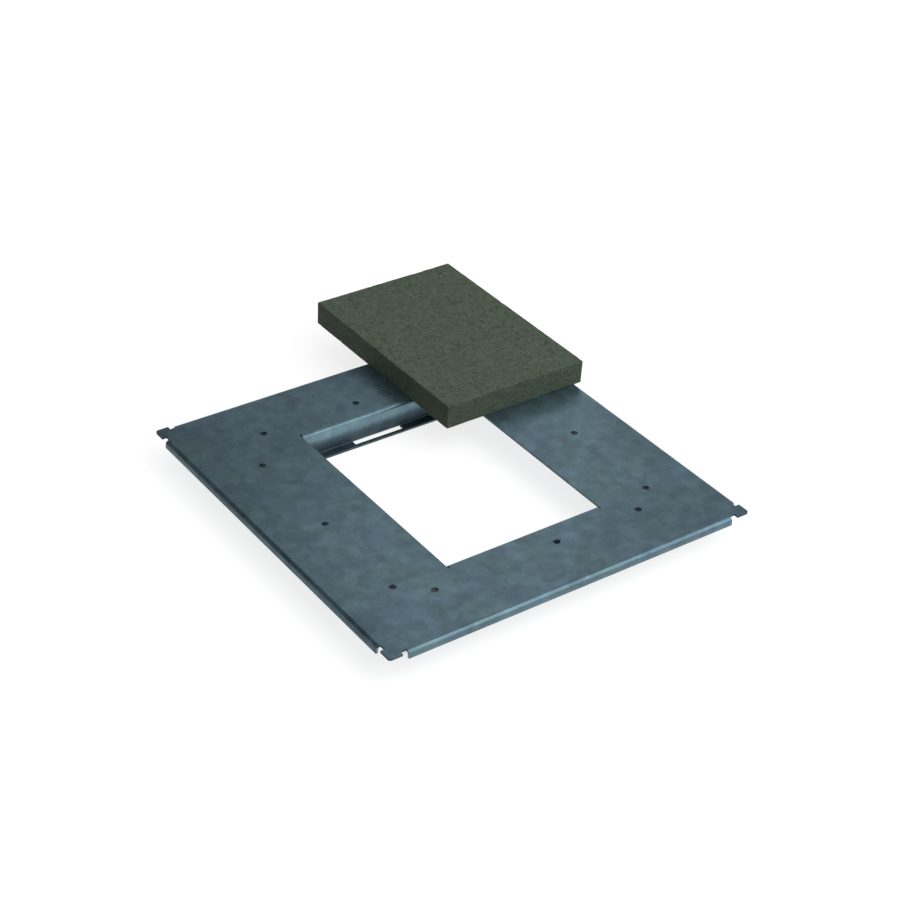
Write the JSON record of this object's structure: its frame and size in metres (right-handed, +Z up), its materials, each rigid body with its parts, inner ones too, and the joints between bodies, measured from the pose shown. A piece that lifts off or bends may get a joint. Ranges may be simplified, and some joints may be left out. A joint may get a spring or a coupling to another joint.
{
  "type": "recessed access cover",
  "caption": "Square folded steel floor-box cover with turned-down edges, a rectangular opening with folded seat lips, and a lift-out board insert lying on it.",
  "frame": {"origin": "centre of the opening, on the plate's top face", "axes": "+Z up out of the plate's top face, +Y along the opening's long side towards the back, +X to the right"},
  "size_m": [0.3555, 0.4305, 0.046],
  "materials": {
    "galvanised_steel": "blue-grey galvanised sheet, satin, with faint spangle and rolling marks",
    "particle_board": "dense green-grey particle board, matt, finely mottled"
  },
  "bodies": {
    "root": {"cover_plate": "galvanised_steel", "insert_board": "particle_board"}
  },
  "joints": []
}
